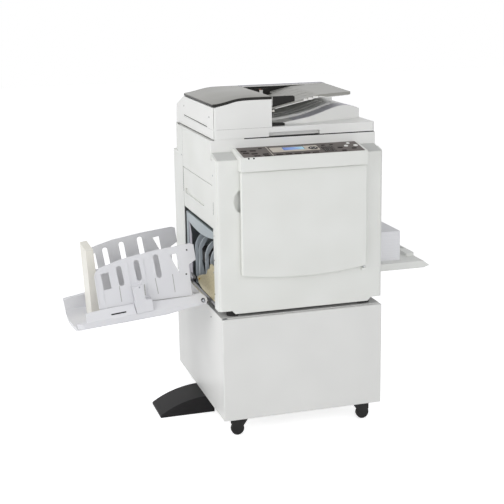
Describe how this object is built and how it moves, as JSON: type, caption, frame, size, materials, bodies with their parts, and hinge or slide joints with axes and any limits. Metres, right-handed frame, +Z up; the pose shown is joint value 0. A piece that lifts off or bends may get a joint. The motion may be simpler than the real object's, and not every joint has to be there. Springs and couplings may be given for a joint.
{
  "type": "digital duplicator",
  "caption": "Office stencil duplicator on a wheeled cabinet, with a document feeder and lid on top, a tilted delivery tray with fences at the left and a paper feed tray at the right.",
  "frame": {"origin": "on the floor under the middle of the whole footprint with both trays out", "axes": "+X towards the paper feed side, +Y towards the back, +Z up; the operator stands on the -Y side"},
  "size_m": [1.3895, 0.764, 1.2575],
  "materials": {
    "body_plastic": "fine grain",
    "cabinet_paint": "smooth satin",
    "caster_black": "moulded",
    "caster_tread": "smooth",
    "foot_black": "satin",
    "foot_rubber": "smooth",
    "plated_steel": "zinc plated",
    "frame_steel": "galvanised",
    "blue_steel": "satin",
    "drum_screen": "fine screen",
    "cylinder_metal": "ground",
    "master_paper": "coated",
    "roller_rubber": "ground",
    "belt_black": "satin",
    "platen_glass": "clear",
    "feeder_grey": "fine grain",
    "panel_grey": "satin film",
    "display": "lit liquid crystal",
    "key_light": "satin",
    "key_dark": "satin",
    "guide_black": "satin",
    "tray_plastic": "fine grain",
    "sheet_white": "smooth",
    "paper_white": "cut edges",
    "inlet_black": "moulded"
  },
  "bodies": {
    "machine": {"cabinet_shell": "cabinet_paint", "caster_plates": "plated_steel", "stabiliser_foot": "foot_black", "body_feet": "foot_rubber", "hinge_pins": "plated_steel", "base_frame": "frame_steel", "front_side_plate": "frame_steel", "rear_side_plate": "blue_steel", "rear_cover": "body_plastic", "right_cover": "body_plastic", "left_cover": "body_plastic", "front_cover": "body_plastic", "delivery_bracket": "blue_steel", "delivery_belt_unit": "belt_black", "delivery_guides": "blue_steel", "power_inlet": "inlet_black", "scanner_housing": "body_plastic", "exposure_glass": "platen_glass", "scan_rails": "plated_steel", "panel_housing": "body_plastic", "panel_face": "panel_grey", "lcd_display": "display"},
    "caster_fork_front_left": {"caster_fork_front_left": "caster_black"},
    "caster_wheel_front_left": {"caster_wheel_front_left": "caster_tread"},
    "caster_fork_front_right": {"caster_fork_front_right": "caster_black"},
    "caster_wheel_front_right": {"caster_wheel_front_right": "caster_tread"},
    "caster_fork_rear_left": {"caster_fork_rear_left": "caster_black"},
    "caster_wheel_rear_left": {"caster_wheel_rear_left": "caster_tread"},
    "caster_fork_rear_right": {"caster_fork_rear_right": "caster_black"},
    "caster_wheel_rear_right": {"caster_wheel_rear_right": "caster_tread"},
    "cabinet_door": {"cabinet_door": "cabinet_paint"},
    "front_door": {"front_door": "body_plastic"},
    "master_eject_door": {"master_eject_door": "body_plastic"},
    "print_drum": {"print_drum": "drum_screen"},
    "pressure_cylinder": {"pressure_cylinder": "cylinder_metal"},
    "master_roll": {"master_roll": "master_paper"},
    "pickup_roller": {"pickup_roller": "roller_rubber"},
    "scan_carriage": {"scan_carriage": "belt_black"},
    "feeder_cover": {"feeder_cover": "feeder_grey"},
    "feeder_rollers": {"feeder_rollers": "roller_rubber"},
    "document_tray": {"document_tray": "feeder_grey"},
    "front_document_guide": {"front_document_guide": "guide_black"},
    "rear_document_guide": {"rear_document_guide": "guide_black"},
    "start_key": {"start_key": "key_light"},
    "stop_key": {"stop_key": "key_light"},
    "proof_key": {"proof_key": "key_light"},
    "number_keys": {"number_keys": "key_dark"},
    "cursor_pad": {"cursor_pad": "key_dark"},
    "delivery_tray": {"delivery_tray": "tray_plastic"},
    "near_side_fence": {"near_side_fence": "tray_plastic"},
    "far_side_fence": {"far_side_fence": "tray_plastic"},
    "end_fence": {"end_fence": "tray_plastic"},
    "front_feed_guide": {"front_feed_guide": "tray_plastic"},
    "rear_feed_guide": {"rear_feed_guide": "tray_plastic"},
    "lid": {"platen_cover": "body_plastic", "platen_sheet": "sheet_white", "feeder_housing": "body_plastic", "exit_tray": "body_plastic"},
    "feed_tray": {"feed_tray": "body_plastic", "paper_stack": "paper_white"}
  },
  "joints": [
    {"name": "cabinet_door_hinge", "type": "hinge", "parent": "machine", "child": "cabinet_door", "pos_m": [-0.16994, -0.343, 0.268], "axis": [0, 0, 1], "range_deg": [-90, 0]},
    {"name": "front_door_hinge", "type": "hinge", "parent": "machine", "child": "front_door", "pos_m": [0.37506, -0.3468, 0.805], "axis": [0, 0, 1], "range_deg": [0, 90]},
    {"name": "side_door_hinge", "type": "hinge", "parent": "machine", "child": "master_eject_door", "pos_m": [-0.16644, -0.05, 0.793], "axis": [0, -1, 0], "range_deg": [0, 75]},
    {"name": "swivel_front_left", "type": "hinge", "parent": "machine", "child": "caster_fork_front_left", "pos_m": [-0.09944, -0.313, 0.06], "axis": [0, 0, 1], "continuous": true},
    {"name": "roll_front_left", "type": "hinge", "parent": "caster_fork_front_left", "child": "caster_wheel_front_left", "pos_m": [-0.11744, -0.313, 0.025], "axis": [0, 1, 0], "continuous": true},
    {"name": "swivel_front_right", "type": "hinge", "parent": "machine", "child": "caster_fork_front_right", "pos_m": [0.36856, -0.313, 0.06], "axis": [0, 0, 1], "continuous": true},
    {"name": "roll_front_right", "type": "hinge", "parent": "caster_fork_front_right", "child": "caster_wheel_front_right", "pos_m": [0.38656, -0.313, 0.025], "axis": [0, 1, 0], "continuous": true},
    {"name": "swivel_rear_left", "type": "hinge", "parent": "machine", "child": "caster_fork_rear_left", "pos_m": [-0.09944, 0.34, 0.06], "axis": [0, 0, 1], "continuous": true},
    {"name": "roll_rear_left", "type": "hinge", "parent": "caster_fork_rear_left", "child": "caster_wheel_rear_left", "pos_m": [-0.11744, 0.34, 0.025], "axis": [0, 1, 0], "continuous": true},
    {"name": "swivel_rear_right", "type": "hinge", "parent": "machine", "child": "caster_fork_rear_right", "pos_m": [0.36856, 0.34, 0.06], "axis": [0, 0, 1], "continuous": true},
    {"name": "roll_rear_right", "type": "hinge", "parent": "caster_fork_rear_right", "child": "caster_wheel_rear_right", "pos_m": [0.38656, 0.34, 0.025], "axis": [0, 1, 0], "continuous": true},
    {"name": "drum_spin", "type": "hinge", "parent": "machine", "child": "print_drum", "pos_m": [0.14456, -0.05, 0.842], "axis": [0, 1, 0], "continuous": true},
    {"name": "cylinder_spin", "type": "hinge", "parent": "machine", "child": "pressure_cylinder", "pos_m": [0.14456, -0.05, 0.6656], "axis": [0, 1, 0], "continuous": true},
    {"name": "master_spin", "type": "hinge", "parent": "machine", "child": "master_roll", "pos_m": [0.34856, -0.05, 0.925], "axis": [0, 1, 0], "continuous": true},
    {"name": "pickup_spin", "type": "hinge", "parent": "machine", "child": "pickup_roller", "pos_m": [0.39856, -0.05, 0.7203], "axis": [0, 1, 0], "continuous": true},
    {"name": "carriage_travel", "type": "slide", "parent": "machine", "child": "scan_carriage", "axis": [1, 0, 0], "range_m": [0, 0.48]},
    {"name": "lid_hinge", "type": "hinge", "parent": "machine", "child": "lid", "pos_m": [0.13456, 0.308, 1.12], "axis": [-1, 0, 0], "range_deg": [0, 60]},
    {"name": "feeder_cover_hinge", "type": "hinge", "parent": "lid", "child": "feeder_cover", "pos_m": [-0.16244, -0.04, 1.231], "axis": [0, -1, 0], "range_deg": [0, 70]},
    {"name": "feed_roller_spin", "type": "hinge", "parent": "lid", "child": "feeder_rollers", "pos_m": [-0.01544, -0.04, 1.194], "axis": [0, 1, 0], "continuous": true},
    {"name": "document_tray_hinge", "type": "hinge", "parent": "lid", "child": "document_tray", "pos_m": [0.05856, -0.04, 1.203], "axis": [0, -1, 0], "range_deg": [0, 24]},
    {"name": "front_document_guide_slide", "type": "slide", "parent": "document_tray", "child": "front_document_guide", "axis": [0, 1, 0], "range_m": [0, 0.08]},
    {"name": "rear_document_guide_slide", "type": "slide", "parent": "document_tray", "child": "rear_document_guide", "axis": [0, -1, 0], "range_m": [0, 0.08]},
    {"name": "start_key_press", "type": "slide", "parent": "machine", "child": "start_key", "axis": [0, 0.1807, -0.9835], "range_m": [0, 0.0012], "stiffness_N_per_m": 400},
    {"name": "stop_key_press", "type": "slide", "parent": "machine", "child": "stop_key", "axis": [0, 0.1807, -0.9835], "range_m": [0, 0.0012], "stiffness_N_per_m": 400},
    {"name": "proof_key_press", "type": "slide", "parent": "machine", "child": "proof_key", "axis": [0, 0.1807, -0.9835], "range_m": [0, 0.0012], "stiffness_N_per_m": 400},
    {"name": "number_keys_press", "type": "slide", "parent": "machine", "child": "number_keys", "axis": [0, 0.1807, -0.9835], "range_m": [0, 0.0012], "stiffness_N_per_m": 400},
    {"name": "cursor_pad_press", "type": "slide", "parent": "machine", "child": "cursor_pad", "axis": [0, 0.1807, -0.9835], "range_m": [0, 0.0012], "stiffness_N_per_m": 400},
    {"name": "delivery_tray_hinge", "type": "hinge", "parent": "machine", "child": "delivery_tray", "pos_m": [-0.21444, -0.046, 0.5105], "axis": [0, 1, 0], "range_deg": [0, 12]},
    {"name": "near_fence_slide", "type": "slide", "parent": "delivery_tray", "child": "near_side_fence", "axis": [0, 1, 0], "range_m": [0, 0.068]},
    {"name": "far_fence_slide", "type": "slide", "parent": "delivery_tray", "child": "far_side_fence", "axis": [0, -1, 0], "range_m": [0, 0.068]},
    {"name": "end_fence_slide", "type": "slide", "parent": "delivery_tray", "child": "end_fence", "axis": [0.9646, 0, 0.2637], "range_m": [0, 0.18]},
    {"name": "feed_tray_lift", "type": "slide", "parent": "machine", "child": "feed_tray", "axis": [0, 0, 1], "range_m": [-0.045, 0]},
    {"name": "front_feed_guide_slide", "type": "slide", "parent": "feed_tray", "child": "front_feed_guide", "axis": [0, -1, 0], "range_m": [0, 0.012]},
    {"name": "rear_feed_guide_slide", "type": "slide", "parent": "feed_tray", "child": "rear_feed_guide", "axis": [0, 1, 0], "range_m": [0, 0.012]}
  ],
  "couplings": [
    {"joint": "cylinder_spin", "follows": "drum_spin", "ratio": -1},
    {"joint": "rear_document_guide_slide", "follows": "front_document_guide_slide", "ratio": 1},
    {"joint": "far_fence_slide", "follows": "near_fence_slide", "ratio": 1},
    {"joint": "rear_feed_guide_slide", "follows": "front_feed_guide_slide", "ratio": 1}
  ]
}
